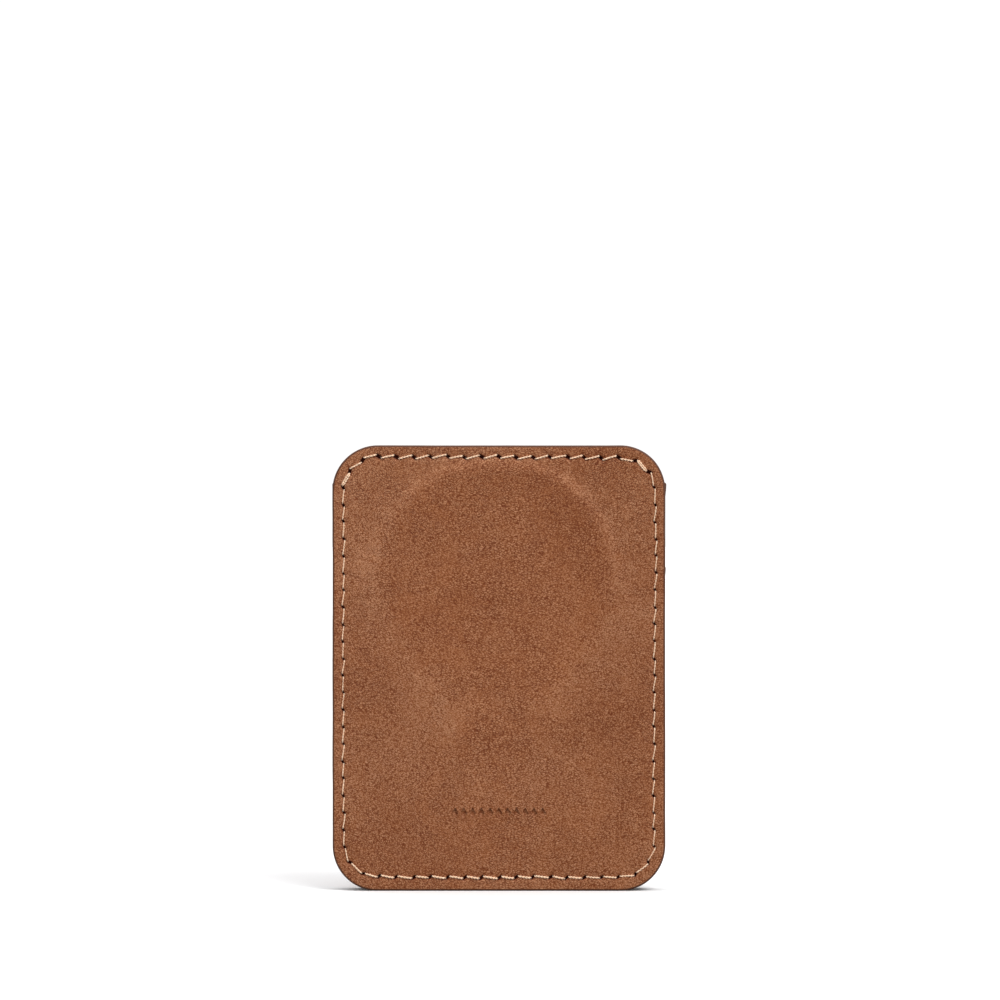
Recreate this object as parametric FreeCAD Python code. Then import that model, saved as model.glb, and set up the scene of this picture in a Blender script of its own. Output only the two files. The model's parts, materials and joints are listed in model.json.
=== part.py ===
# A leather card holder that clings to the back of a phone. It stands on its bottom edge.
# The plain magnetic face looks along -Y, the two card slots are on the +Y side, and +Z is up.
# The origin is at the middle of the bottom edge, half way through the sewn stack. Millimetres.
import FreeCAD
import Part
import math
import os

Vector = FreeCAD.Vector

# Outline. The holder is as wide as a phone and takes cards of 54 by 85.6 mm upright.
WIDTH = 71.0
HEIGHT = 95.0
CORNER_R = 9.6
CARD_WIDTH = 54.0

# Layers, from the magnetic face to the front pocket.
BACK_T = 1.2
CORE_T = 1.4
LINING_T = 0.8
SLOT_DEPTH = 1.8
POCKET_T = 1.2
FRONT_T = 1.2

# Heights of the pockets' top edges.
POCKET_TOP = HEIGHT - 7.9
FRONT_TOP = HEIGHT - 25.8

# The U-shaped welts between the panels, which leave a slot for two cards.
CARD_SIDE_PLAY = 1.5
SLOT_WIDTH = CARD_WIDTH + 2 * CARD_SIDE_PLAY
SLOT_FLOOR = 4.7
SLOT_CORNER_R = 3.0

# Thumb notch in the front pocket.
NOTCH_R = 11.0
NOTCH_LEAD_R = 2.5

# Magnet ring and the upright bar under it.
RING_Z = HEIGHT - 28.8
RING_OUTER_R = 24.8
RING_INNER_R = 20.8
RING_MAGNETS = 18
MAGNET_GAP = 0.4
MAGNET_T = 0.8
YOKE_T = 0.3
BAR_WIDTH = 6.0
BAR_HEIGHT = 16.0
BAR_TOP_Z = RING_Z - RING_OUTER_R - 5.0
MAGNET_PLAY = 0.2

# The cover sheet lifts the leather over the ring, which shows as a low round relief.
COVER_T = 0.25
COVER_PLAY = 0.1
RELIEF_TOP_R = RING_OUTER_R - 0.6
RELIEF_FOOT_R = RING_OUTER_R + 0.7

# Steel sheet between the magnets and the cards.
SHIELD_T = CORE_T - MAGNET_T - YOKE_T
SHIELD_WIDTH = 58.0
SHIELD_Z0 = 8.0
SHIELD_Z1 = 88.0
SHIELD_CORNER_R = 3.0

# Pressed mark near the bottom of the magnetic face: a plain row of lozenges.
MARK_Z = 16.6
MARK_LENGTH = 20.0
MARK_COUNT = 11
MARK_WIDTH = 1.3
MARK_HEIGHT = 2.2
MARK_DEPTH = 0.2

# Sewing, all round the holder, with slanted flat holes.
SEAM_SIDE = 2.4
SEAM_TOP = 2.55
SEAM_BOTTOM = 2.9
SEAM_R = 7.2
STITCHES = 82
HOLE_LENGTH = 1.3
HOLE_WIDTH = 0.56
TOP_LEAN = -37.0
SIDE_LEAN = 29.0
BOTTOM_LEAN = 37.0
THREAD_R = 0.21
THREAD_BEND_R = 0.3
LEG_OFFSET = 0.375
KNOT_GAP = 0.1
EDGE_CLEAR = 0.35

# Places of the layers across the stack, which is centred on Y = 0.
STACK_T = BACK_T + CORE_T + LINING_T + SLOT_DEPTH + POCKET_T + SLOT_DEPTH + FRONT_T
BACK_Y = -STACK_T / 2
CORE_Y = BACK_Y + BACK_T
YOKE_Y = CORE_Y + MAGNET_T
SHIELD_Y = CORE_Y + CORE_T - SHIELD_T
LINING_Y = CORE_Y + CORE_T
REAR_WELT_Y = LINING_Y + LINING_T
POCKET_Y = REAR_WELT_Y + SLOT_DEPTH
FRONT_WELT_Y = POCKET_Y + POCKET_T
FRONT_Y = FRONT_WELT_Y + SLOT_DEPTH
FRONT_FACE_Y = FRONT_Y + FRONT_T


def point(x, z):
    return Vector(x, 0, z)


def polar(cx, cz, r, degrees):
    a = math.radians(degrees)
    return point(cx + r * math.cos(a), cz + r * math.sin(a))


def line(a, b):
    return Part.LineSegment(a, b).toShape()


def arc(cx, cz, r, start, end):
    """An arc in the XZ plane, from one angle to another, anticlockwise where end is larger."""
    middle = (start + end) / 2
    return Part.Arc(polar(cx, cz, r, start), polar(cx, cz, r, middle), polar(cx, cz, r, end)).toShape()


def closed(edges):
    """The wire of a list of edges, with a straight edge between each one's end and the next one's start."""
    chain = []
    for this, following in zip(edges, edges[1:] + edges[:1]):
        chain.append(this)
        gap_start = this.valueAt(this.LastParameter)
        gap_end = following.valueAt(following.FirstParameter)
        if gap_start.distanceToPoint(gap_end) > 1e-6:
            chain.append(line(gap_start, gap_end))
    return Part.Wire(chain)


def rounded_rectangle(x0, x1, z0, z1, r):
    return closed(
        [
            arc(x0 + r, z0 + r, r, 180, 270),
            arc(x1 - r, z0 + r, r, 270, 360),
            arc(x1 - r, z1 - r, r, 0, 90),
            arc(x0 + r, z1 - r, r, 90, 180),
        ]
    )


def full_outline():
    return rounded_rectangle(-WIDTH / 2, WIDTH / 2, 0, HEIGHT, CORNER_R)


def bottom_arcs():
    """The two rounded bottom corners, which every pocket layer shares with the panels behind it."""
    cx = WIDTH / 2 - CORNER_R
    return [
        arc(-cx, CORNER_R, CORNER_R, 180, 270),
        arc(cx, CORNER_R, CORNER_R, 270, 360),
    ]


def pocket_outline(top):
    """A pocket with a straight top edge and square top corners."""
    right = line(point(WIDTH / 2, CORNER_R), point(WIDTH / 2, top))
    left = line(point(-WIDTH / 2, top), point(-WIDTH / 2, CORNER_R))
    return closed(bottom_arcs() + [right, left])


def notched_outline(top):
    """A pocket with a round thumb notch in its top edge, whose mouth is eased by two small arcs."""
    right = line(point(WIDTH / 2, CORNER_R), point(WIDTH / 2, top))
    left = line(point(-WIDTH / 2, top), point(-WIDTH / 2, CORNER_R))
    reach = NOTCH_R + NOTCH_LEAD_R
    lead_x = math.sqrt(reach**2 - NOTCH_LEAD_R**2)
    lead_z = top - NOTCH_LEAD_R
    touch = math.degrees(math.asin(NOTCH_LEAD_R / reach))
    lead_right = arc(lead_x, lead_z, NOTCH_LEAD_R, 90, 180 - touch)
    notch = arc(0, top, NOTCH_R, -touch, -180 + touch)
    lead_left = arc(-lead_x, lead_z, NOTCH_LEAD_R, touch, 90)
    return closed(bottom_arcs() + [right, lead_right, notch, lead_left, left])


def welt_outline(top):
    """A strip along the sides and the bottom, open at the top."""
    inner = SLOT_WIDTH / 2
    r = SLOT_CORNER_R
    right = line(point(WIDTH / 2, CORNER_R), point(WIDTH / 2, top))
    right_inside = line(point(inner, top), point(inner, SLOT_FLOOR + r))
    right_corner = arc(inner - r, SLOT_FLOOR + r, r, 0, -90)
    left_corner = arc(-inner + r, SLOT_FLOOR + r, r, -90, -180)
    left_inside = line(point(-inner, SLOT_FLOOR + r), point(-inner, top))
    left = line(point(-WIDTH / 2, top), point(-WIDTH / 2, CORNER_R))
    return closed(bottom_arcs() + [right, right_inside, right_corner, left_corner, left_inside, left])


def seam_runs():
    """The seam as runs, clockwise from the middle of the top: length, lean of the holes, and place by distance."""
    x = WIDTH / 2 - SEAM_SIDE
    top = HEIGHT - SEAM_TOP
    bottom = SEAM_BOTTOM
    r = SEAM_R
    half = x - r
    side = top - bottom - 2 * r
    quarter = math.pi * r / 2

    def straight(x0, z0, heading):
        step = polar(0, 0, 1, heading)
        return lambda s: (point(x0, z0) + step * s, heading)

    def corner(cx, cz, start):
        return lambda s: (polar(cx, cz, r, start - math.degrees(s / r)), start - 90 - math.degrees(s / r))

    return [
        (half, TOP_LEAN, straight(0, top, 0)),
        (quarter, SIDE_LEAN, corner(half, top - r, 90)),
        (side, SIDE_LEAN, straight(x, top - r, -90)),
        (quarter, BOTTOM_LEAN, corner(half, bottom + r, 0)),
        (2 * half, BOTTOM_LEAN, straight(half, bottom, 180)),
        (quarter, SIDE_LEAN, corner(-half, bottom + r, -90)),
        (side, SIDE_LEAN, straight(-x, bottom + r, 90)),
        (quarter, SIDE_LEAN, corner(-half, top - r, 180)),
        (half, TOP_LEAN, straight(-half, top, 0)),
    ]


def seam_holes():
    """Centre and long direction of each sewing hole, evenly spaced from the middle of the top edge."""
    runs = seam_runs()
    pitch = sum(length for length, _, _ in runs) / STITCHES
    holes = []
    for number in range(STITCHES):
        s = number * pitch
        for length, lean, place in runs:
            if s < length:
                centre, heading = place(s)
                holes.append((centre, polar(0, 0, 1, heading + lean)))
                break
            s -= length
    return holes


HOLES = seam_holes()


def hole_wire(centre, along):
    across = Vector(-along.z, 0, along.x) * (HOLE_WIDTH / 2)
    reach = along * (HOLE_LENGTH / 2)
    corners = [
        centre - reach - across,
        centre + reach - across,
        centre + reach + across,
        centre - reach + across,
    ]
    return Part.makePolygon(corners + corners[:1])


def sewn_layer(outline, y, thickness, top=HEIGHT):
    """A flat layer with the sewing holes that lie below its top edge."""
    holes = [hole_wire(centre, along) for centre, along in HOLES if centre.z < top]
    face = Part.makeFace([outline] + holes, "Part::FaceMakerBullseye")
    solid = face.extrude(Vector(0, thickness, 0))
    solid.translate(Vector(0, y, 0))
    return solid


def flat_layer(outline, y, thickness):
    solid = Part.Face(outline).extrude(Vector(0, thickness, 0))
    solid.translate(Vector(0, y, 0))
    return solid


def disc(r, y, thickness):
    return Part.makeCylinder(r, thickness, Vector(0, y, RING_Z), Vector(0, 1, 0))


def bar_block(play, y, thickness):
    width = BAR_WIDTH + 2 * play
    height = BAR_HEIGHT + 2 * play
    corner = Vector(-width / 2, y, BAR_TOP_Z - BAR_HEIGHT - play)
    return Part.makeBox(width, thickness, height, corner)


def mark_cutter():
    """The row of lozenges, as one shape to cut from the magnetic face."""
    pitch = (MARK_LENGTH - MARK_WIDTH) / (MARK_COUNT - 1)
    lozenges = []
    for number in range(MARK_COUNT):
        x = (number - (MARK_COUNT - 1) / 2) * pitch
        corners = [
            point(x - MARK_WIDTH / 2, MARK_Z),
            point(x, MARK_Z - MARK_HEIGHT / 2),
            point(x + MARK_WIDTH / 2, MARK_Z),
            point(x, MARK_Z + MARK_HEIGHT / 2),
        ]
        lozenges.append(flat_layer(Part.makePolygon(corners + corners[:1]), BACK_Y, MARK_DEPTH))
    return Part.makeCompound(lozenges)


def back_panel():
    """The leather of the magnetic face, lifted over the ring and pressed with the mark."""
    panel = sewn_layer(full_outline(), BACK_Y, BACK_T)
    relief = Part.makeCone(
        RELIEF_FOOT_R, RELIEF_TOP_R, COVER_T, Vector(0, BACK_Y, RING_Z), Vector(0, -1, 0)
    )
    hollow = disc(RING_OUTER_R + COVER_PLAY, CORE_Y - COVER_T, COVER_T)
    return panel.fuse(relief).cut(hollow).cut(mark_cutter())


def core_board():
    """The stiff board, open for the ring and the bar, and sunk on its far side for the shield."""
    board = sewn_layer(full_outline(), CORE_Y, CORE_T)
    ring_hole = disc(RING_OUTER_R + MAGNET_PLAY, CORE_Y, MAGNET_T + YOKE_T)
    bar_hole = bar_block(MAGNET_PLAY, CORE_Y, MAGNET_T + YOKE_T)
    return board.cut(ring_hole).cut(bar_hole).cut(shield_block(MAGNET_PLAY))


def shield_block(play):
    half = SHIELD_WIDTH / 2 + play
    outline = rounded_rectangle(-half, half, SHIELD_Z0 - play, SHIELD_Z1 + play, SHIELD_CORNER_R + play)
    return flat_layer(outline, SHIELD_Y, SHIELD_T)


def ring_magnets():
    """Equal arc magnets around the ring, a small gap apart."""
    pitch = 360 / RING_MAGNETS
    outer_half = pitch / 2 - math.degrees(MAGNET_GAP / 2 / RING_OUTER_R)
    inner_half = pitch / 2 - math.degrees(MAGNET_GAP / 2 / RING_INNER_R)
    magnets = []
    for number in range(RING_MAGNETS):
        middle = 90 + (number + 0.5) * pitch
        outer = arc(0, RING_Z, RING_OUTER_R, middle - outer_half, middle + outer_half)
        inner = arc(0, RING_Z, RING_INNER_R, middle + inner_half, middle - inner_half)
        magnets.append(flat_layer(closed([outer, inner]), CORE_Y, MAGNET_T))
    return Part.makeCompound(magnets)


def front_face_y(z):
    """Where the pocket side's outer face lies at a height."""
    if z > POCKET_TOP:
        return REAR_WELT_Y
    if z > FRONT_TOP:
        return FRONT_WELT_Y
    return FRONT_FACE_Y


def knot_y(z):
    """Half way through the sewn layers, where the two threads lock."""
    return (BACK_Y + front_face_y(z)) / 2


def thread_solid(places):
    """A round thread along straight runs joined by small bends."""
    edges = []
    start = places[0]
    for before, corner, after in zip(places, places[1:], places[2:]):
        back = (before - corner).normalize()
        on = (after - corner).normalize()
        half_turn = (math.pi - back.getAngle(on)) / 2
        cut = THREAD_BEND_R * math.tan(half_turn)
        inner = THREAD_BEND_R * (1 / math.cos(half_turn) - 1)
        bend_start = corner + back * cut
        bend_end = corner + on * cut
        middle = corner + (back + on).normalize() * inner
        edges.append(line(start, bend_start))
        edges.append(Part.Arc(bend_start, middle, bend_end).toShape())
        start = bend_end
    edges.append(line(start, places[-1]))
    path = Part.Wire(edges)
    section = Part.Wire(Part.makeCircle(THREAD_R, places[0], places[1] - places[0]))
    return path.makePipeShell([section], True, False)


def at_depth(place, y):
    return Vector(place.x, y, place.z)


def stitches(surface_y, end_y, outward):
    """One thread solid per stitch: out of a hole, along the face, and into the next hole."""
    solids = []
    for (here, lean), (there, next_lean) in zip(HOLES, HOLES[1:] + HOLES[:1]):
        start = here + lean * LEG_OFFSET
        end = there - next_lean * LEG_OFFSET
        start_y = surface_y(here.z) + outward * THREAD_R
        finish_y = surface_y(there.z) + outward * THREAD_R
        places = [at_depth(start, end_y(here.z)), at_depth(start, start_y)]
        if abs(start_y - finish_y) > 1e-6:
            high = max(start_y, finish_y)
            edge = POCKET_TOP if max(start.z, end.z) > POCKET_TOP else FRONT_TOP
            share = (edge + EDGE_CLEAR - start.z) / (end.z - start.z)
            places.append(at_depth(start + (end - start) * share, high))
        places.append(at_depth(end, finish_y))
        places.append(at_depth(end, end_y(there.z)))
        solids.append(thread_solid(places))
    return Part.makeCompound(solids)


def needle_thread():
    return stitches(lambda z: BACK_Y, lambda z: knot_y(z) - KNOT_GAP / 2, -1)


def bobbin_thread():
    return stitches(front_face_y, lambda z: knot_y(z) + KNOT_GAP / 2, 1)


NODES = {
    "back_panel": back_panel(),
    "magnet_cover": disc(RING_OUTER_R, CORE_Y - COVER_T, COVER_T),
    "magnet_ring": ring_magnets(),
    "ring_yoke": disc(RING_OUTER_R, YOKE_Y, YOKE_T).cut(disc(RING_INNER_R, YOKE_Y, YOKE_T)),
    "center_disc": disc(RING_INNER_R - MAGNET_PLAY, CORE_Y, MAGNET_T + YOKE_T),
    "bar_magnet": bar_block(0, CORE_Y, MAGNET_T),
    "bar_yoke": bar_block(0, YOKE_Y, YOKE_T),
    "core_board": core_board(),
    "shield_plate": shield_block(0),
    "lining_panel": sewn_layer(full_outline(), LINING_Y, LINING_T),
    "rear_welt": sewn_layer(welt_outline(POCKET_TOP), REAR_WELT_Y, SLOT_DEPTH, POCKET_TOP),
    "pocket_panel": sewn_layer(pocket_outline(POCKET_TOP), POCKET_Y, POCKET_T, POCKET_TOP),
    "front_welt": sewn_layer(welt_outline(FRONT_TOP), FRONT_WELT_Y, SLOT_DEPTH, FRONT_TOP),
    "front_pocket": sewn_layer(notched_outline(FRONT_TOP), FRONT_Y, FRONT_T, FRONT_TOP),
    "needle_thread": needle_thread(),
    "bobbin_thread": bobbin_thread(),
}

os.makedirs("parts", exist_ok=True)
for name, shape in NODES.items():
    shape.exportStep(f"parts/{name}.step")
    print(name, len(shape.Solids), "solids", round(shape.Volume, 1), "mm3", "valid", shape.isValid())
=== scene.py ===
# The look of the leather card holder: grained leather layers with painted edges, real sewing holes
# and twisted thread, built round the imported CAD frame. Plan shapes are in millimetres, X across and Z up.
import json
import math
import random

import bmesh
import bpy
import numpy as np
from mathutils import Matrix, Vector, noise
from mathutils.geometry import delaunay_2d_cdt
from mathutils.kdtree import KDTree


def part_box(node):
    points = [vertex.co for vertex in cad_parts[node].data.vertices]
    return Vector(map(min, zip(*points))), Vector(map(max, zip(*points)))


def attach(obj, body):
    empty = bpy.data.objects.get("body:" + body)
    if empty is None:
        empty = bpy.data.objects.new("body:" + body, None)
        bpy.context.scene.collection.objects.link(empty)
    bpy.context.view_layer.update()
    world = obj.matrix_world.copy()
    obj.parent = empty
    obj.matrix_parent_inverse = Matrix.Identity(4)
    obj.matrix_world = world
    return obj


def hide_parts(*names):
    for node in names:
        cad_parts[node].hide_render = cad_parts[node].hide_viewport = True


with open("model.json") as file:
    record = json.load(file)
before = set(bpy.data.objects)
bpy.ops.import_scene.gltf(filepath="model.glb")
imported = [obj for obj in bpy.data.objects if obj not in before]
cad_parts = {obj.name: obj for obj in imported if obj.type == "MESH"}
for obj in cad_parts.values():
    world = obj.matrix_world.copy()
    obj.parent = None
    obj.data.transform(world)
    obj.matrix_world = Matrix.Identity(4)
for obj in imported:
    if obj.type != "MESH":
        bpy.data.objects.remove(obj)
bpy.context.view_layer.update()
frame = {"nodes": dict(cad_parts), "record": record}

MM = 0.001

# ---------------------------------------------------------------- sizes, from the frame where it has them


def span_mm(node):
    """Lowest and highest corner of a CAD node, in millimetres."""
    low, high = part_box(node)
    return np.array(low) / MM, np.array(high) / MM


def layer_y(node):
    low, high = span_mm(node)
    return low[1], high[1]


LOW, HIGH = span_mm("back_panel")
WIDTH = HIGH[0] - LOW[0]
HEIGHT = HIGH[2]
CORNER_R = 9.6
LINING_Y = layer_y("lining_panel")
REAR_WELT_Y = layer_y("rear_welt")
POCKET_Y = layer_y("pocket_panel")
FRONT_WELT_Y = layer_y("front_welt")
FRONT_Y = layer_y("front_pocket")
BACK_T = 1.2
BACK_FACE_Y = HIGH[1] - BACK_T
POCKET_TOP = span_mm("pocket_panel")[1][2]
FRONT_TOP = span_mm("front_pocket")[1][2]

# The pocket layers' upper corners flare a little past the magnetic side's outline.
FLARE_LEFT = 0.12
FLARE_RIGHT = 0.32
FLARE_REACH = 5.0
FLARE_BAND = 1.2

# A cut and sanded edge wavers in and out, slowly and a little faster.
WAVER = 0.05
WAVER_LONG = 17.0
WAVER_SHORT = 6.0
WAVER_SHORT_SHARE = 0.6
WAVER_SEED = 3.5

# Pockets and welts.
SQUARE_R = 0.5
SLOT_WIDTH = 57.0
SLOT_FLOOR = 4.7
SLOT_CORNER_R = 3.0
NOTCH_R = 11.0
NOTCH_LEAD_R = 2.5
REAR_CROWN = 0.35
FRONT_CROWN = 0.6

RING_LOW, RING_HIGH = span_mm("magnet_ring")
RING_Z = (RING_LOW[2] + RING_HIGH[2]) / 2
RING_R = (RING_HIGH[2] - RING_LOW[2]) / 2

# Sewing.
SEAM_SIDE = 2.4
SEAM_TOP = 2.55
SEAM_BOTTOM = 2.9
SEAM_R = 7.2
STITCHES = 82
TOP_LEAN = -37.0
SIDE_LEAN = 29.0
BOTTOM_LEAN = 37.0

# Length and width of the holes. Between these distances from an edge one size passes into the next.
TOP_HOLE = (1.54, 0.74)
SIDE_HOLE = (1.18, 0.45)
BOTTOM_HOLE = (1.26, 0.56)
TOP_FADE = (12, 5)
BOTTOM_FADE = (4, 8)
SIDE_FADE = (1.5, 0.3)
HOLE_DEPTH = 0.9
HOLE_SQUARENESS = 0.8

# How far the holes are from even, in millimetres and degrees.
HOLE_STEP_SPREAD = 0.15
HOLE_TURN_SPREAD = 8
HOLE_STRAY = 0.12
HOLE_DRIFT = 0.35
HOLE_DRIFT_STITCHES = 7
HOLE_GROW = (0.86, 1.10)
SEAM_SEED = 11

# The leather is drawn down along the seam, and more at each hole.
SEAM_REACH = 4
CHANNEL_DEPTH = 0.07
CHANNEL_HALF = 0.75
DIP_DEPTH = 0.14
DIP_REACH = 0.28

# Thread: thinner where it is pulled tight along the sides, fuller along the bottom.
TIGHT_FROM = (0.15, 0.35)
OPEN_LEG_SHARE = 0.80
TIGHT_LEG_SHARE = 0.66
PLY_R = 0.118
PLY_OFFSET = 0.095
PLY_PITCH = 1.3
TIGHT_THINNING = 0.3
BOTTOM_FULLNESS = 0.30
BOTTOM_LEG_MORE = 0.18
BOTTOM_LEVEL = 0.5
THREAD_STEP = 0.15

# A stitch's heights over the face, and how far past a hole it is up, or down again.
THREAD_SINK = 0.8
THREAD_BEND = 0.12
THREAD_RISE = (0.08, 0.14)
TIGHT_LOWER = 0.07
LIFT_MORE = 0.05
LIFT_OFF = 0.16
SET_DOWN = 0.20
THREAD_SLACK = 0.06
DOUBLED_STITCHES = (8, 72)
DOUBLED_APART = 0.17

# The row of plain lozenges pressed into the leather.
MARK_Z = 16.6
MARK_LENGTH = 20.0
MARK_COUNT = 11
MARK_WIDTH = 1.3
MARK_HEIGHT = 2.2
MARK_DEPTH = 0.28
MARK_LIP = 0.06
MARK_SHADE = 0.2
MARK_OUTER = 1.36
MARK_CREST = 1.18

# Mesh density.
OUTLINE_STEP = 0.45
FINE_STEP = 0.45
EDGE_ROUND = 0.45
HAIRLINE = 0.07

# ---------------------------------------------------------------- plan shapes


def smooth(low, high, value):
    t = min(1.0, max(0.0, (value - low) / (high - low)))
    return t * t * (3 - 2 * t)


def wave(x, z, size, seed):
    return noise.noise(Vector((x / size, z / size, seed)))


def circle_point(c, r, degrees):
    a = math.radians(degrees)
    return (c[0] + r * math.cos(a), c[1] + r * math.sin(a))


def trace(runs, step=OUTLINE_STEP):
    """Points and outward normals along an anticlockwise outline of straight runs and arcs."""
    points = []
    normals = []
    for run in runs:
        if run[0] == "line":
            _, a, b = run
            a = np.array(a)
            b = np.array(b)
            length = np.linalg.norm(b - a)
            if length < 1e-6:
                continue
            count = max(1, round(length / step))
            along = (b - a) / length
            for t in np.arange(count) / count:
                points.append(a + (b - a) * t)
                normals.append((along[1], -along[0]))
        else:
            _, c, r, start, end = run
            count = max(5, round(abs(math.radians(end - start)) * r / step))
            side = 1 if end > start else -1
            for t in np.arange(count) / count:
                a = math.radians(start + (end - start) * t)
                out = np.array((math.cos(a), math.sin(a)))
                points.append(np.array(c) + out * r)
                normals.append(out * side)
    return np.array(points), np.array(normals)


def worn(points, normals, seed, flare_top=None):
    """The small unevenness of a cut and sanded edge, and the flare of a pocket's upper corners."""
    moved = []
    for p, n in zip(points, normals):
        slow = wave(p[0], p[1], WAVER_LONG, WAVER_SEED)
        shift = WAVER * (slow + WAVER_SHORT_SHARE * wave(p[0], p[1], WAVER_SHORT, seed))
        if p[1] < CORNER_R:  # nothing reaches below the floor
            shift = min(0.0, shift) * smooth(0.0, CORNER_R, p[1])
        side = 0.0
        if flare_top is not None and abs(p[0]) > WIDTH / 2 - FLARE_BAND:
            amount = FLARE_RIGHT if p[0] > 0 else FLARE_LEFT
            side = math.copysign(amount * smooth(flare_top - FLARE_REACH, flare_top, p[1]), p[0])
        moved.append((p[0] + n[0] * shift + side, p[1] + n[1] * shift))
    return np.array(moved)


def full_runs(left, right):
    """The holder's rounded rectangle."""
    r = CORNER_R
    top = HEIGHT
    return [
        ("line", (left + r, 0), (right - r, 0)),
        ("arc", (right - r, r), r, -90, 0),
        ("line", (right, r), (right, top - r)),
        ("arc", (right - r, top - r), r, 0, 90),
        ("line", (right - r, top), (left + r, top)),
        ("arc", (left + r, top - r), r, 90, 180),
        ("line", (left, top - r), (left, r)),
        ("arc", (left + r, r), r, 180, 270),
    ]


def pocket_runs(left, right, top, mouth=()):
    """A pocket's outline: rounded below, square above, with what its mouth is cut to."""
    r = CORNER_R
    q = SQUARE_R
    edge = list(mouth) or [("line", (right - q, top), (left + q, top))]
    return [
        ("line", (left + r, 0), (right - r, 0)),
        ("arc", (right - r, r), r, -90, 0),
        ("line", (right, r), (right, top - q)),
        ("arc", (right - q, top - q), q, 0, 90),
        *edge,
        ("arc", (left + q, top - q), q, 90, 180),
        ("line", (left, top - q), (left, r)),
        ("arc", (left + r, r), r, 180, 270),
    ]


def notched_mouth(left, right, top):
    reach = NOTCH_R + NOTCH_LEAD_R
    lead_x = math.sqrt(reach**2 - NOTCH_LEAD_R**2)
    lead_z = top - NOTCH_LEAD_R
    touch = math.degrees(math.asin(NOTCH_LEAD_R / reach))
    return [
        ("line", (right - SQUARE_R, top), (lead_x, top)),
        ("arc", (lead_x, lead_z), NOTCH_LEAD_R, 90, 180 - touch),
        ("arc", (0, top), NOTCH_R, -touch, -180 + touch),
        ("arc", (-lead_x, lead_z), NOTCH_LEAD_R, touch, 90),
        ("line", (-lead_x, top), (left + SQUARE_R, top)),
    ]


def welt_mouth(left, right, top):
    """The inside of a U-shaped welt, as the cut in a pocket's outline."""
    half = SLOT_WIDTH / 2
    q = SQUARE_R
    r = SLOT_CORNER_R
    return [
        ("line", (right - q, top), (half + q, top)),
        ("arc", (half + q, top - q), q, 90, 180),
        ("line", (half, top - q), (half, SLOT_FLOOR + r)),
        ("arc", (half - r, SLOT_FLOOR + r), r, 0, -90),
        ("line", (half - r, SLOT_FLOOR), (-half + r, SLOT_FLOOR)),
        ("arc", (-half + r, SLOT_FLOOR + r), r, -90, -180),
        ("line", (-half, SLOT_FLOOR + r), (-half, top - q)),
        ("arc", (-half - q, top - q), q, 0, 90),
        ("line", (-half - q, top), (left + q, top)),
    ]


# ---------------------------------------------------------------- sewing holes


def seam_runs():
    """Length, lean of the holes and place by distance, clockwise from the middle of the top edge."""
    x = WIDTH / 2 - SEAM_SIDE
    top = HEIGHT - SEAM_TOP
    bottom = SEAM_BOTTOM
    r = SEAM_R
    half = x - r
    side = top - bottom - 2 * r
    quarter = math.pi * r / 2

    def straight(start, heading):
        return lambda s: (circle_point(start, s, heading), heading)

    def corner(c, start):
        return lambda s: (circle_point(c, r, start - math.degrees(s / r)), start - 90 - math.degrees(s / r))

    return [
        (half, TOP_LEAN, straight((0, top), 0)),
        (quarter, SIDE_LEAN, corner((half, top - r), 90)),
        (side, SIDE_LEAN, straight((x, top - r), -90)),
        (quarter, BOTTOM_LEAN, corner((half, bottom + r), 0)),
        (2 * half, BOTTOM_LEAN, straight((half, bottom), 180)),
        (quarter, SIDE_LEAN, corner((-half, bottom + r), -90)),
        (side, SIDE_LEAN, straight((-x, bottom + r), 90)),
        (quarter, SIDE_LEAN, corner((-half, top - r), 180)),
        (half, TOP_LEAN, straight((-half, top), 0)),
    ]


def hole_size(centre):
    """Holes are pulled widest along the top, and closed up along the sides."""
    x, z = centre
    half = WIDTH / 2 - SEAM_SIDE
    top = smooth(HEIGHT - TOP_FADE[0], HEIGHT - TOP_FADE[1], z)
    bottom = 1 - smooth(*BOTTOM_FADE, z)
    side = smooth(half - SIDE_FADE[0], half - SIDE_FADE[1], abs(x))
    weights = np.array((top, bottom, max(0.0, side - top - bottom)))
    weights /= weights.sum()
    return weights @ np.array((TOP_HOLE, BOTTOM_HOLE, SIDE_HOLE))


def seam_holes():
    """Centre, long direction, length and width of each hole, uneven as a seam fed by hand is."""
    rng = random.Random(SEAM_SEED)
    runs = seam_runs()
    pitch = sum(length for length, _, _ in runs) / STITCHES
    holes = []
    for number in range(STITCHES):
        s = max(0.0, number * pitch + rng.uniform(-HOLE_STEP_SPREAD, HOLE_STEP_SPREAD))
        turn = rng.uniform(-HOLE_TURN_SPREAD, HOLE_TURN_SPREAD)
        drift = HOLE_DRIFT * noise.noise(Vector((number / HOLE_DRIFT_STITCHES, 0.5, 2.5)))
        stray = rng.uniform(-HOLE_STRAY, HOLE_STRAY) + drift
        grow = rng.uniform(*HOLE_GROW)
        for length, lean, place in runs:
            if s < length:
                centre, heading = place(s)
                centre = np.array(circle_point(centre, stray, heading + 90))
                along = np.array(circle_point((0, 0), 1, heading + lean + turn))
                holes.append((centre, along, *(hole_size(centre) * grow)))
                break
            s -= length
    return holes


HOLES = seam_holes()
HOLE_TREE = KDTree(len(HOLES))
for number, row in enumerate(HOLES):
    HOLE_TREE.insert((row[0][0], row[0][1], 0), number)
HOLE_TREE.balance()


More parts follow.
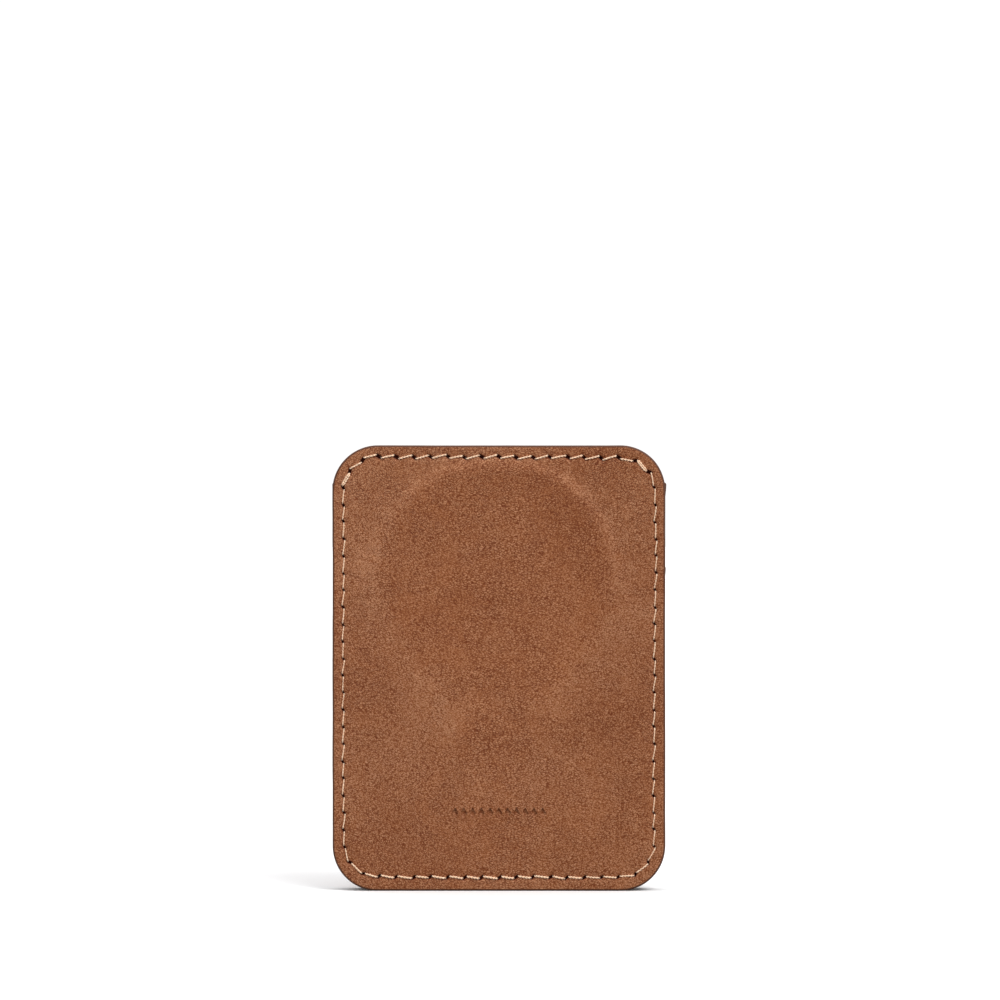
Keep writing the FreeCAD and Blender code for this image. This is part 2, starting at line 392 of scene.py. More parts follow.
def hole_loop(row, grow, count=14):
    """A flat, slightly squared oval round a sewing hole, grown outward by a distance."""
    centre, along, length, width = row
    across = np.array((-along[1], along[0]))
    length = length / 2 + grow
    width = width / 2 + grow
    loop = []
    for number in range(count):
        a = 2 * math.pi * number / count
        c = math.copysign(abs(math.cos(a)) ** HOLE_SQUARENESS, math.cos(a))
        s = math.copysign(abs(math.sin(a)) ** HOLE_SQUARENESS, math.sin(a))
        loop.append(centre + along * (c * length) + across * (s * width))
    return np.array(loop)


def hole_distance(x, z):
    """Distance from the edge of the nearest sewing hole, roughly."""
    _, number, _ = HOLE_TREE.find((x, z, 0))
    centre, along, length, width = HOLES[number]
    d = np.array((x, z)) - centre
    u = abs(d @ along) - (length - width) / 2
    v = abs(d[0] * -along[1] + d[1] * along[0])
    return math.hypot(max(u, 0.0), v) - width / 2


def seam_distance(x, z):
    """Distance from the seam line, positive on the inside."""
    half = WIDTH / 2 - SEAM_SIDE
    mid_z = (HEIGHT - SEAM_TOP + SEAM_BOTTOM) / 2
    half_z = (HEIGHT - SEAM_TOP - SEAM_BOTTOM) / 2
    qx = abs(x) - (half - SEAM_R)
    qz = abs(z - mid_z) - (half_z - SEAM_R)
    outside = math.hypot(max(qx, 0.0), max(qz, 0.0)) + min(max(qx, qz), 0.0) - SEAM_R
    return -outside


# ---------------------------------------------------------------- surface shapes


def seam_pull(x, z):
    """The leather drawn down along the sewing, most at the holes."""
    d = seam_distance(x, z)
    if abs(d) > SEAM_REACH:
        return 0.0
    near = hole_distance(x, z)
    channel = -CHANNEL_DEPTH * math.exp(-((d / CHANNEL_HALF) ** 2))
    dip = -DIP_DEPTH * math.exp(-((max(near, 0.0) / DIP_REACH) ** 2))
    return channel + dip


# How the magnets press through the leather: the ring above, and below it a stem that narrows to a foot.
RELIEF_HEIGHT = 0.36
RELIEF_SLACK_SHARE = 0.45
RELIEF_CENTRE = (-0.7, RING_Z + 0.6)
DISH = 0.12
STEM_FOOT = 22.0
STEM_WIDE = 21.0
STEM_NARROW = 4.0
BLEND = 6.0

# The paler line along the relief's edge, leather worn lighter together with a painted highlight: where it
# is palest, and how fast it fades on either side.
RUB_HIGHLIGHT_CREST = 0.9
RUB_HIGHLIGHT_INNER = 1.3
RUB_HIGHLIGHT_OUTER = 3.6


def magnet_distance(x, z):
    """Distance outside the shape that the ring and the bar below it press into the leather."""
    dx = x - RELIEF_CENTRE[0]
    dz = z - RELIEF_CENTRE[1]
    disc = math.hypot(dx, dz) - RING_R
    t = min(1.0, max(0.0, -dz / (RELIEF_CENTRE[1] - STEM_FOOT)))
    half = STEM_WIDE + (STEM_NARROW - STEM_WIDE) * t**0.8
    stem = math.hypot(max(0.0, abs(dx) - half), max(0.0, STEM_FOOT - z), max(0.0, dz))
    mix = max(0.0, BLEND - abs(disc - stem)) / BLEND
    return min(disc, stem) - mix * mix * BLEND / 4


def crispness(z):
    """1 over the ring's upper half, falling to 0 where the leather hangs slack below it."""
    return smooth(-0.7, 0.35, (z - RELIEF_CENTRE[1]) / RING_R)


def ring_relief(x, z):
    """The leather stretched over the magnets: crisp above, slack below."""
    d = magnet_distance(x, z)
    up = crispness(z)
    slack = 1 - up
    raised = 1 - smooth(-0.8 - 3.0 * slack, 2.4 + 5.0 * slack, d)
    dish = -DISH * smooth(1.0, 9.0, -d) * up
    height = RELIEF_HEIGHT * (RELIEF_SLACK_SHARE + (1 - RELIEF_SLACK_SHARE) * up)
    return (height * raised + dish) * smooth(0.2, 3.0, seam_distance(x, z))


def ring_rub_and_highlight(x, z):
    """Where the leather is stretched and worn lighter over the magnets' edge, with a painted highlight
    that is strongest over the upper half, where the light from above falls.
    """
    d = magnet_distance(x, z)
    up = crispness(z)
    width = RUB_HIGHLIGHT_OUTER if d > RUB_HIGHLIGHT_CREST else RUB_HIGHLIGHT_INNER
    return (0.6 + 0.4 * up) * math.exp(-(((d - RUB_HIGHLIGHT_CREST) / (width + 1.2 * (1 - up))) ** 2))


def ring_warmth(x, z):
    """Over the magnets the colour is a little deeper and warmer; the material tints the rest a little
    cooler.
    """
    return 1 - smooth(-3.0, 3.5, magnet_distance(x, z))


# Height and length of the leather's waves.
SLOW_WAVE = (0.16, 24.0)
MILD_WAVE = (0.055, 8.0)
FINE_WAVE = (0.016, 2.6)


def loose(x, z, seed):
    """Leather is never quite flat."""
    slow = SLOW_WAVE[0] * wave(x, z, SLOW_WAVE[1], seed)
    mild = MILD_WAVE[0] * wave(x, z, MILD_WAVE[1], seed + 5)
    fine = FINE_WAVE[0] * wave(x, z, FINE_WAVE[1], seed + 9)
    return slow + mild + fine


def back_height(x, z):
    return ring_relief(x, z) + seam_pull(x, z) + loose(x, z, 1.5)


def pocket_height(seed):
    return lambda x, z: seam_pull(x, z) + loose(x, z, seed)


def crown(top, amount):
    """A pocket that has held cards bows outward between its welts, most at its mouth."""
    half = SLOT_WIDTH / 2

    def bend(x, z):
        across = max(0.0, 1 - (x / half) ** 2) ** 1.5
        up = smooth(SLOT_FLOOR, top, z)
        return amount * across * up

    return bend


# ---------------------------------------------------------------- one leather layer

# The grid is fine this near the seam line, and leaves these gaps round what has its own points.
SEAM_FINE = 1.3
SEAM_NEAR = 1.5
HOLE_CLEAR = 0.36
EDGE_CLEAR = 0.25
MARK_CLEAR = 0.5


def hex_points(low, high, fine):
    """A triangular grid, whole where fine(x, z) says so and every second point elsewhere."""
    row_step = FINE_STEP * math.sqrt(3) / 2
    rows = int((high[1] - low[1]) / row_step) + 1
    columns = int((high[0] - low[0]) / FINE_STEP) + 1
    for j in range(rows):
        z = low[1] + j * row_step
        for i in range(columns):
            coarse = j % 2 == 0 and (i + j // 2) % 2 == 0
            x = low[0] + (i + (j % 2) / 2) * FINE_STEP
            if coarse or fine(x, z):
                yield x, z


def profile(front, back, thickness, turns=6):
    """Inset and depth of the edge's rings, from the good face round to the back face."""
    rings = []
    for k in range(turns + 1):
        a = math.pi / 2 * k / turns
        rings.append((front * (1 - math.sin(a)), front * (1 - math.cos(a))))
    rings.append((0.0, (front + thickness - back) / 2))
    for k in range(3):
        a = math.pi / 2 * k / 2
        rings.append((back * (1 - math.cos(a)), thickness - back * (1 - math.sin(a))))
    return rings


def mark_loops():
    """Three outlines of each lozenge: where its raised lip starts, the lip, and the sunk middle."""
    pitch = (MARK_LENGTH - MARK_WIDTH) / (MARK_COUNT - 1)
    loops = []
    for number in range(MARK_COUNT):
        x = (number - (MARK_COUNT - 1) / 2) * pitch
        for share, depth in ((MARK_OUTER, 0.0), (MARK_CREST, -MARK_LIP), (1.0, MARK_DEPTH)):
            w = MARK_WIDTH / 2 * share
            h = MARK_HEIGHT / 2 * share
            corners = [(x - w, MARK_Z), (x, MARK_Z - h), (x + w, MARK_Z), (x, MARK_Z + h)]
            loops.append((np.array(corners), depth))
    return loops


def layer(name, node, runs, face_y, outward, thickness, front=EDGE_ROUND, back=HAIRLINE,
          height=None, bend=None, holes_below=None, fine=None, marks=(), rub_and_highlight=None, warmth=None,
          material=None):
    """One cut piece of leather with a moulded good face, sewing holes and a rounded, painted edge.

    front and back are the roundings of its two edges, as numbers or as functions of the place. The
    attributes paint, hole, flesh, rub_and_highlight and warm say how much of each the surface has, for
    the material. hole is painted shade in the sewing holes and the pressed lozenges; rub_and_highlight is
    leather worn paler over the ring's edge together with a painted highlight there.
    """
    points, normals = trace(runs)
    points = worn(points, normals, len(name) + face_y, holes_below)
    count = len(points)
    tree = KDTree(count)
    for number, p in enumerate(points):
        tree.insert((p[0], p[1], 0), number)
    tree.balance()

    def inset(x, z):
        p, number, _ = tree.find((x, z, 0))
        return -(x - p[0]) * normals[number][0] - (z - p[1]) * normals[number][1]

    def rounding(value, p):
        return value(p[0], p[1]) if callable(value) else value

    rings = [profile(rounding(front, p), rounding(back, p), thickness) for p in points]
    depth_count = len(rings[0])
    bm = bmesh.new()
    paint = bm.verts.layers.float.new("paint")
    hole = bm.verts.layers.float.new("hole")
    flesh = bm.verts.layers.float.new("flesh")
    rub_and_highlight_share = bm.verts.layers.float.new("rub_and_highlight")
    warmed = bm.verts.layers.float.new("warm")
    lift = height or (lambda x, z: 0.0)
    shift = bend or (lambda x, z: 0.0)

    def vertex(x, z, depth, sink=0.0):
        h = lift(x, z) * (1 - depth / thickness) + shift(x, z)
        y = face_y + outward * (h - depth - sink)
        v = bm.verts.new((x * MM, y * MM, z * MM))
        v[rub_and_highlight_share] = rub_and_highlight(x, z) if rub_and_highlight else 0.0
        v[warmed] = warmth(x, z) if warmth else 0.5
        return v

    # Edge rings, from the good face round to the back.
    grid = []
    for k in range(depth_count):
        ring = []
        for p, n, section in zip(points, normals, rings):
            inward, depth = section[k]
            q = p - n * inward
            v = vertex(q[0], q[1], depth)
            v[paint] = 1.0 if k > 0 else 0.0
            ring.append(v)
        grid.append(ring)
    for outer, inner in zip(grid, grid[1:]):
        for i in range(count):
            j = (i + 1) % count
            bm.faces.new((outer[i], outer[j], inner[j], inner[i]))

    # Back face.
    back_face = bm.faces.new(grid[-1])
    for v in grid[-1]:
        v[flesh] = 1.0

    # Good face: its boundary, the holes, the mark and a graded grid, triangulated together.
    plan = []
    edges = []
    made = []

    def add_loop(loop, verts):
        start = len(plan)
        size = len(loop)
        for p in loop:
            plan.append(Vector((float(p[0]), float(p[1]))))
        made.extend(verts)
        edges.extend((start + i, start + (i + 1) % size) for i in range(size))

    boundary = [Vector((v.co.x / MM, v.co.z / MM)) for v in grid[0]]
    add_loop(boundary, grid[0])
    rim_of = {}
    tops = [h for h in HOLES if holes_below is None or h[0][1] < holes_below]
    # Each hole is a pit with a floor. Its walls and floor are coloured near black as painted shade, and the
    # shade fades over the face just round its rim.
    for number, row in enumerate(tops):
        rim = hole_loop(row, 0.0)
        start = len(plan)
        verts = [vertex(p[0], p[1], 0.0) for p in rim]
        for v in verts:
            v[hole] = 0.75
        add_loop(rim, verts)
        for i in range(len(rim)):
            rim_of[start + i] = number
        lower = verts
        for grow, sink in ((-0.03, 0.10), (-0.09, HOLE_DEPTH)):
            deeper = [vertex(p[0], p[1], 0.0, sink) for p in hole_loop(row, grow)]
            for v in deeper:
                v[hole] = 1.0
            for i in range(len(rim)):
                j = (i + 1) % len(rim)
                bm.faces.new((lower[i], lower[j], deeper[j], deeper[i]))
            lower = deeper
        bm.faces.new(lower)
        # Painted shade spreading out from the hole's rim onto the face, gone by the outer ring.
        for grow, dark in ((0.09, 0.35), (0.24, 0.0)):
            for p in hole_loop(row, grow):
                plan.append(Vector((float(p[0]), float(p[1]))))
                v = vertex(p[0], p[1], 0.0)
                v[hole] = dark
                made.append(v)
    for loop, sink in marks:
        verts = [vertex(p[0], p[1], 0.0, sink) for p in loop]
        for v in verts:
            v[hole] = MARK_SHADE if sink > 0 else 0.0
        add_loop(loop, verts)

    fine_at = fine or (lambda x, z: abs(seam_distance(x, z)) < SEAM_FINE)
    low = points.min(0)
    high = points.max(0)
    for x, z in hex_points(low, high, fine_at):
        gap = inset(x, z)
        room = rounding(front, (x, z)) + EDGE_CLEAR
        if gap < room:
            continue
        if abs(seam_distance(x, z)) < SEAM_NEAR and hole_distance(x, z) < HOLE_CLEAR:
            continue
        if marks and abs(z - MARK_Z) < MARK_HEIGHT and abs(x) < MARK_LENGTH / 2 + MARK_CLEAR:
            continue
        plan.append(Vector((x, z)))
        made.append(vertex(x, z, 0.0))
    _, _, faces, origins, _, _ = delaunay_2d_cdt(plan, edges, [], 1, 1e-7)
    source = [o[0] for o in origins]
    for face in faces:
        corners = [source[i] for i in face]
        owners = {rim_of.get(c, -1 - c) for c in corners}
        if len(owners) == 1:
            continue
        bm.faces.new([made[c] for c in corners])
    bmesh.ops.delete(bm, geom=[v for v in bm.verts if not v.link_faces], context="VERTS")
    bmesh.ops.triangulate(bm, faces=[back_face])
    bmesh.ops.recalc_face_normals(bm, faces=bm.faces)
    for f in bm.faces:
        f.smooth = True
    mesh = bpy.data.meshes.new(name)
    bm.to_mesh(mesh)
    bm.free()
    piece = bpy.data.objects.new(name, mesh)
    bpy.context.collection.objects.link(piece)
    mesh.materials.append(material)
    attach(piece, "root")
    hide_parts(node)
    return piece


# ---------------------------------------------------------------- thread


def rounded(points, times=3):
    """Corner cutting: the same ends, every corner rounded."""
    for _ in range(times):
        cut = [points[0]]
        for a, b in zip(points, points[1:]):
            cut.append(a * 0.75 + b * 0.25)
            cut.append(a * 0.25 + b * 0.75)
        cut.append(points[-1])
        points = cut
    return points


def evenly(points, step):
    lengths = [0.0]
    for a, b in zip(points, points[1:]):
        lengths.append(lengths[-1] + np.linalg.norm(b - a))
    count = max(2, round(lengths[-1] / step))
    wanted = np.linspace(0, lengths[-1], count + 1)
    flat = np.array(points)
    return np.stack([np.interp(wanted, lengths, flat[:, k]) for k in range(3)], 1)


def add_thread(verts, faces, line, turn, size=1.0, sides=7):
    """Two plies twisted round each other along a line."""
    tangents = np.gradient(line, axis=0)
    tangents /= np.linalg.norm(tangents, axis=1)[:, None]
    reference = np.cross(line[-1] - line[0], (0, 1, 0))
    reference /= np.linalg.norm(reference)
    travelled = 0.0
    spot = line[0]
    frames = []
    for p, t in zip(line, tangents):
        travelled += np.linalg.norm(p - spot)
        spot = p
        side = reference - t * (reference @ t)
        side /= np.linalg.norm(side)
        frames.append((p, side, np.cross(t, side), travelled))
    for ply in range(2):
        start = len(verts)
        for p, side, up, s in frames:
            a = turn + 2 * math.pi * (s / PLY_PITCH + ply / 2)
            centre = p + (side * math.cos(a) + up * math.sin(a)) * PLY_OFFSET * size
            for k in range(sides):
                b = 2 * math.pi * k / sides
                verts.append((centre + (side * math.cos(b) + up * math.sin(b)) * PLY_R * size) * MM)
        for i in range(len(frames) - 1):
            for k in range(sides):
                m = (k + 1) % sides
                a = start + i * sides
                faces.append((a + k, a + m, a + sides + m, a + sides + k))
        faces.append(tuple(start + k for k in reversed(range(sides))))
        last = start + (len(frames) - 1) * sides
        faces.append(tuple(last + k for k in range(sides)))


# How the thread bends over a pocket's edge: distance past the edge, and height over its face.
OVER_EDGE = ((-0.6, 0.10), (0.10, 0.06), (0.22, -0.50))


def sewing(name, node, surface, outward, seed, doubled=()):
    """Every stitch on one side: up out of a hole, along the leather and down into the next hole.

    tight is 1 where the holes are narrow, along the sides, and low is 1 along the bottom.
    """
    rng = random.Random(seed)
    verts = []
    faces = []

    def place(p, h, base):
        return np.array((p[0], base + outward * h, p[1]))

    for number, (a, b) in enumerate(zip(HOLES, HOLES[1:] + HOLES[:1])):
        copies = (-DOUBLED_APART, DOUBLED_APART) if number in doubled else (0.0,)
        sides = 1 - min(a[3], b[3]) / TOP_HOLE[1]
        tight = smooth(*TIGHT_FROM, sides)
        low = 1 - smooth(*BOTTOM_FADE, (a[0][1] + b[0][1]) / 2)
        size = 1.0 - TIGHT_THINNING * tight + BOTTOM_FULLNESS * low
        leg = OPEN_LEG_SHARE + (TIGHT_LEG_SHARE - OPEN_LEG_SHARE) * tight + BOTTOM_LEG_MORE * low
        way = (b[0] - a[0]) / np.linalg.norm(b[0] - a[0])
        level = BOTTOM_LEVEL * low
        for offset in copies:
            start = a[0] + (a[1] * (1 - level) + way * level) * (a[2] / 2 * leg)
            end = b[0] - (b[1] * (1 - level) + way * level) * (b[2] / 2 * leg)
            along = (end - start) / np.linalg.norm(end - start)
            across = np.array((-along[1], along[0])) * offset
            rise = rng.uniform(*THREAD_RISE) - TIGHT_LOWER * tight
            slack = rng.uniform(-THREAD_SLACK, THREAD_SLACK)
            lift = rise + LIFT_MORE + LIFT_MORE * tight
            y0 = surface(start)
            y1 = surface(end)
            line = [place(start, -THREAD_SINK, y0), place(start, -THREAD_BEND, y0)]
            line.append(place(start + along * LIFT_OFF + across, lift, y0))
            if abs(y0 - y1) > 0.5:
                edge = POCKET_TOP if max(start[1], end[1]) > POCKET_TOP else FRONT_TOP
                for out, h in OVER_EDGE if y0 > y1 else reversed(OVER_EDGE):
                    share = min(0.95, max(0.05, (edge + out - start[1]) / (end[1] - start[1])))
                    line.append(place(start + (end - start) * share, h, max(y0, y1)))
            else:
                side = np.array((-along[1], along[0])) * slack
                line.append(place((start + end) / 2 + across + side, rise, (y0 + y1) / 2))
            line.append(place(end - along * SET_DOWN + across, rise, y1))
            line.append(place(end, -THREAD_BEND, y1))
            line.append(place(end, -THREAD_SINK, y1))
            turn = rng.uniform(0, 6.28)
            add_thread(verts, faces, evenly(rounded(line), THREAD_STEP), turn, size)
    mesh = bpy.data.meshes.new(name)
    mesh.from_pydata([tuple(v) for v in verts], [], faces)
    mesh.update()
    for f in mesh.polygons:
        f.use_smooth = True
    piece = bpy.data.objects.new(name, mesh)
    bpy.context.collection.objects.link(piece)
    mesh.materials.append(MATERIALS["thread"])
    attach(piece, "root")
    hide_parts(node)
    return piece


# ---------------------------------------------------------------- materials


def linear(r, g, b):
    """A display colour from 0 to 255 as the linear colour the shaders use."""
    def one(c):
        c /= 255
        return c / 12.92 if c <= 0.04045 else ((c + 0.055) / 1.055) ** 2.4
    return (one(r), one(g), one(b), 1.0)


EDGE_PAINT = (linear(72, 40, 24), linear(98, 58, 36))
FLESH_TONE = linear(150, 112, 84)


class Nodes:
    """Short calls to build a material's nodes."""

    def __init__(self, name):
        self.material = bpy.data.materials.new(name)
        self.material.use_nodes = True
        self.tree = self.material.node_tree
        self.tree.nodes.clear()
        self.shader = self.add("ShaderNodeBsdfPrincipled")
        output = self.add("ShaderNodeOutputMaterial")
        self.link(self.shader.outputs["BSDF"], output.inputs["Surface"])
        self.place = self.add("ShaderNodeTexCoord").outputs["Object"]

    def add(self, kind, **values):
        node = self.tree.nodes.new(kind)
        for key, value in values.items():
            setattr(node, key, value)
        return node

    def link(self, a, b):
        self.tree.links.new(a, b)

    def feed(self, socket, value):
        if isinstance(value, bpy.types.NodeSocket):
            self.link(value, socket)
        else:
            socket.default_value = value

    def math(self, operation, a, b=0.0, clamp=False):
        node = self.add("ShaderNodeMath", operation=operation, use_clamp=clamp)
        self.feed(node.inputs[0], a)
        self.feed(node.inputs[1], b)
        return node.outputs[0]

    def total(self, *values):
        result = values[0]
        for value in values[1:]:
            result = self.math("ADD", result, value)
        return result

    def weighted(self, *pairs):
        """The sum of values, each times its weight."""
        return self.total(*[self.math("MULTIPLY", value, weight) for value, weight in pairs])

    def scaled(self, factors, source=None):
        node = self.add("ShaderNodeMapping")
        self.link(source or self.place, node.inputs["Vector"])
        node.inputs["Scale"].default_value = factors
        return node.outputs["Vector"]

    def turned(self, degrees, source=None):
        """Places turned in the holder's own plane."""
        node = self.add("ShaderNodeMapping")
        self.link(source or self.place, node.inputs["Vector"])
        node.inputs["Rotation"].default_value = (0, math.radians(degrees), 0)
        return node.outputs["Vector"]

    def noise(self, per_mm, detail=2.0, rough=0.5, source=None, distortion=0.0):
        node = self.add("ShaderNodeTexNoise")
        self.link(source or self.place, node.inputs["Vector"])
        node.inputs["Scale"].default_value = per_mm / MM
        node.inputs["Detail"].default_value = detail
        node.inputs["Roughness"].default_value = rough
        node.inputs["Distortion"].default_value = distortion
        return node.outputs["Fac"]

    def cells(self, per_mm, feature="DISTANCE_TO_EDGE", source=None, random_share=1.0):
        node = self.add("ShaderNodeTexVoronoi", feature=feature)
        self.link(source or self.place, node.inputs["Vector"])
        node.inputs["Scale"].default_value = per_mm / MM
        node.inputs["Randomness"].default_value = random_share
        return node.outputs["Distance"]

    def warped(self, per_mm, amount_mm, source=None):
        """Object places pushed about by a noise, so that regular patterns turn natural."""
        node = self.add("ShaderNodeTexNoise")
        source = source or self.place
        self.link(source, node.inputs["Vector"])
        node.inputs["Scale"].default_value = per_mm / MM
        centred = self.add("ShaderNodeVectorMath", operation="SUBTRACT")
        self.link(node.outputs["Color"], centred.inputs[0])
        centred.inputs[1].default_value = (0.5, 0.5, 0.5)
        sized = self.add("ShaderNodeVectorMath", operation="SCALE")
        self.link(centred.outputs[0], sized.inputs[0])
        sized.inputs["Scale"].default_value = amount_mm * MM
        total = self.add("ShaderNodeVectorMath", operation="ADD")
        self.link(source, total.inputs[0])
        self.link(sized.outputs[0], total.inputs[1])
        return total.outputs[0]

    def ramp(self, value, low, high, clamp=True):
        """0 at low to 1 at high."""
        node = self.add("ShaderNodeMapRange", clamp=clamp)
        self.link(value, node.inputs["Value"])
        node.inputs["From Min"].default_value = low
        node.inputs["From Max"].default_value = high
        return node.outputs["Result"]

    def mix(self, share, a, b, blend="MIX"):
        node = self.add("ShaderNodeMix", data_type="RGBA", blend_type=blend)
        self.feed(node.inputs["Factor"], share)
        self.feed(node.inputs["A"], a)
        self.feed(node.inputs["B"], b)
        return node.outputs["Result"]

    def attribute(self, name):
        return self.add("ShaderNodeAttribute", attribute_name=name).outputs["Fac"]

    def bump(self, height, depth_mm, strength=1.0):
        node = self.add("ShaderNodeBump")
        self.link(height, node.inputs["Height"])
        node.inputs["Distance"].default_value = depth_mm * MM
        node.inputs["Strength"].default_value = strength
        self.link(node.outputs["Normal"], self.shader.inputs["Normal"])


def leather(name, deep, base, pale):
    """Waxed full-grain leather: dark pores, pale wrinkles, clouds of tone and painted edges."""
    n = Nodes(name)
    near = n.warped(2.2, 0.16, n.warped(0.40, 0.9))
    split = n.add("ShaderNodeSeparateXYZ")
    n.link(n.place, split.inputs[0])
    lean_left = n.scaled((0.92, 1.0, 2.05), n.turned(-38, near))
    lean_right = n.scaled((0.92, 1.0, 2.05), n.turned(34, near))
    across = n.scaled((0.92, 1.0, 1.85), near)
    swing = n.math("ADD", n.ramp(split.outputs["X"], -22.0 * MM, 26.0 * MM), n.noise(0.07, 1.0))
    to_left = n.ramp(swing, 0.85, 0.65)
    to_right = n.ramp(swing, 1.15, 1.35)

    def flowing(make):
        """One pattern laid along the way the hide is stretched: up to the middle from both sides."""
        mid = n.mix(to_left, make(across), make(lean_left))
        return n.mix(to_right, mid, make(lean_right))

    def wrinkles(per_mm, source, width, distortion=0.7):
        field = n.noise(per_mm, 1.5, 0.5, source, distortion)
        away = n.math("ABSOLUTE", n.math("SUBTRACT", field, 0.5))
        return n.math("SUBTRACT", 1.0, n.ramp(away, 0.0, width))

    def pores(per_mm, small, large):
        return n.math("SUBTRACT", 1.0, n.ramp(n.cells(per_mm, "F1", near), small, large))

    strength = n.math("ADD", 0.78, n.math("MULTIPLY", n.ramp(n.noise(0.30, 2.0), 0.36, 0.62), 0.32))
    folds = flowing(lambda source: n.cells(1.6, source=source))
    domes = n.ramp(folds, 0.0, 0.22)
    creases = n.ramp(folds, 0.0, 0.11)
    small = n.ramp(n.cells(3.6, source=near), 0.0, 0.26)
    fine = wrinkles(1.9, across, 0.10)
    broad = wrinkles(0.55, across, 0.030, 1.1)
    pulled = wrinkles(1.1, n.scaled((0.30, 1.0, 1.5), near), 0.08, 0.5)
    at_side = n.ramp(n.math("ABSOLUTE", split.outputs["X"]), 24.0 * MM, 31.0 * MM)
    pulled = n.math("MULTIPLY", pulled, n.math("MULTIPLY", at_side, n.ramp(n.noise(0.12), 0.4, 0.55)))
    mottle = n.ramp(n.noise(2.4, 0.5, 0.5, across, 0.4), 0.28, 0.72)
    pits = pores(1.30, 0.08, 0.26)
    clouds = n.ramp(n.noise(0.045, 1.0, 0.5), 0.30, 0.70)
    drift = n.ramp(n.noise(0.20, 2.0, 0.5), 0.30, 0.70)
    dust = n.ramp(n.noise(3.6, 1.0, 0.6), 0.30, 0.70)

    def about(value, middle, amount):
        """How far a value is from its middle, times its weight."""
        return n.math("MULTIPLY", n.math("SUBTRACT", value, middle), amount)

    grain = n.total(
        about(domes, 0.65, 0.46), about(creases, 0.8, 0.38),
        about(mottle, 0.5, 0.44), about(small, 0.6, 0.22),
        about(fine, 0.38, 0.24), about(broad, 0.12, 0.12),
        about(pulled, 0.05, 0.20), about(pits, 0.08, -0.34),
    )
    grain = n.math("MULTIPLY", grain, strength)
    tone = n.math("ADD", n.math("ADD", 0.52, grain), about(clouds, 0.5, 0.16))
    tone = n.math("ADD", tone, about(drift, 0.5, 0.05))
    tone = n.math("ADD", tone, about(dust, 0.5, 0.14))
    tone = n.math("SUBTRACT", tone, about(n.attribute("warm"), 0.5, 0.02))
    # Paler along the ring's edge: leather worn lighter, plus a painted highlight that is strongest on the
    # upper half.
    patches = n.math("ADD", 0.35, n.ramp(n.noise(0.35, 2.0), 0.35, 0.65))
    rub_and_highlight_share = n.math("MULTIPLY", n.attribute("rub_and_highlight"), patches)
    tone = n.math("ADD", tone, n.math("MULTIPLY", rub_and_highlight_share, 0.15), True)
    ramp = n.add("ShaderNodeValToRGB")
    n.link(tone, ramp.inputs["Fac"])
    ramp.color_ramp.elements[0].color = deep
    ramp.color_ramp.elements[1].color = pale
    ramp.color_ramp.elements.new(0.5).color = base
    cool = n.mix(1.0, ramp.outputs["Color"], (0.96, 0.99, 1.05, 1.0), "MULTIPLY")
    cooled = n.math("SUBTRACT", 1.0, n.attribute("warm"))
    cooled = n.math("ADD", n.math("MULTIPLY", cooled, 0.7), about(n.noise(0.08, 2.0), 0.5, 1.2), True)
    colour = n.mix(cooled, ramp.outputs["Color"], cool)

    flesh = n.attribute("flesh")
    shaded = tuple(c * 0.7 for c in FLESH_TONE[:3]) + (1.0,)
    nap = n.mix(n.noise(1.2, 3.0, 0.6), FLESH_TONE, shaded)
    colour = n.mix(flesh, colour, nap)
    wobble = n.math("MULTIPLY", n.math("SUBTRACT", n.noise(0.7, 2.0), 0.5), 0.5)
    paint = n.ramp(n.math("ADD", n.attribute("paint"), wobble), 0.42, 0.56)
    edge = n.mix(n.noise(0.8, 3.0), *EDGE_PAINT)
    colour = n.mix(paint, colour, edge)
    # Painted shade: near black where the hole attribute is set, down the sewing holes and in the pressed
    # lozenges.
    hole = n.ramp(n.attribute("hole"), 0.1, 0.9)
    colour = n.mix(hole, colour, linear(80, 24, 2))
    n.link(colour, n.shader.inputs["Base Color"])

    changes = n.weighted((drift, 0.12), (domes, -0.10), (pits, 0.18), (n.attribute("rub_and_highlight"), -0.06))
    n.link(n.math("ADD", 0.52, changes, True), n.shader.inputs["Roughness"])
    n.shader.inputs["Specular IOR Level"].default_value = 0.24

    height = n.weighted(
        (domes, 0.75), (creases, 0.25), (mottle, 0.30), (small, 0.18), (fine, 0.10), (broad, 0.22),
        (pulled, 0.22), (pits, -0.45),
    )
    height = n.math("MULTIPLY", height, strength)
    height = n.total(height, n.weighted((dust, 0.12), (drift, 0.7)))
    calm = n.math("SUBTRACT", 1.0, n.math("MULTIPLY", paint, 0.85))
    n.bump(n.math("MULTIPLY", height, calm), 0.05)
    return n.material


def thread_material():
    """Waxed thread, paler on its fibres and a little darker between them: painted light and shade that
    follow the fibre bump.
    """
    n = Nodes("thread")
    fibre = n.noise(6.0, 3.0, 0.6, n.scaled((1.0, 1.0, 0.5)))
    patch = n.noise(0.25, 2.0)
    colour = n.mix(n.ramp(fibre, 0.3, 0.7), linear(232, 184, 146), linear(255, 232, 202))
    colour = n.mix(n.math("MULTIPLY", n.ramp(patch, 0.35, 0.75), 0.30), colour, linear(232, 184, 146))
    n.link(colour, n.shader.inputs["Base Color"])
    n.shader.inputs["Roughness"].default_value = 0.55
    n.shader.inputs["Sheen Weight"].default_value = 0.25
    n.bump(fibre, 0.03)
    return n.material


def metal(name, light, dark, rough, streak):
    n = Nodes(name)
    mottled = n.noise(0.9, 4.0, 0.6, n.scaled(streak))
    n.link(n.mix(mottled, dark, light), n.shader.inputs["Base Color"])
    n.shader.inputs["Metallic"].default_value = 1.0
    n.link(n.math("ADD", rough, n.math("MULTIPLY", mottled, 0.15)), n.shader.inputs["Roughness"])
    n.bump(mottled, 0.01)
    return n.material


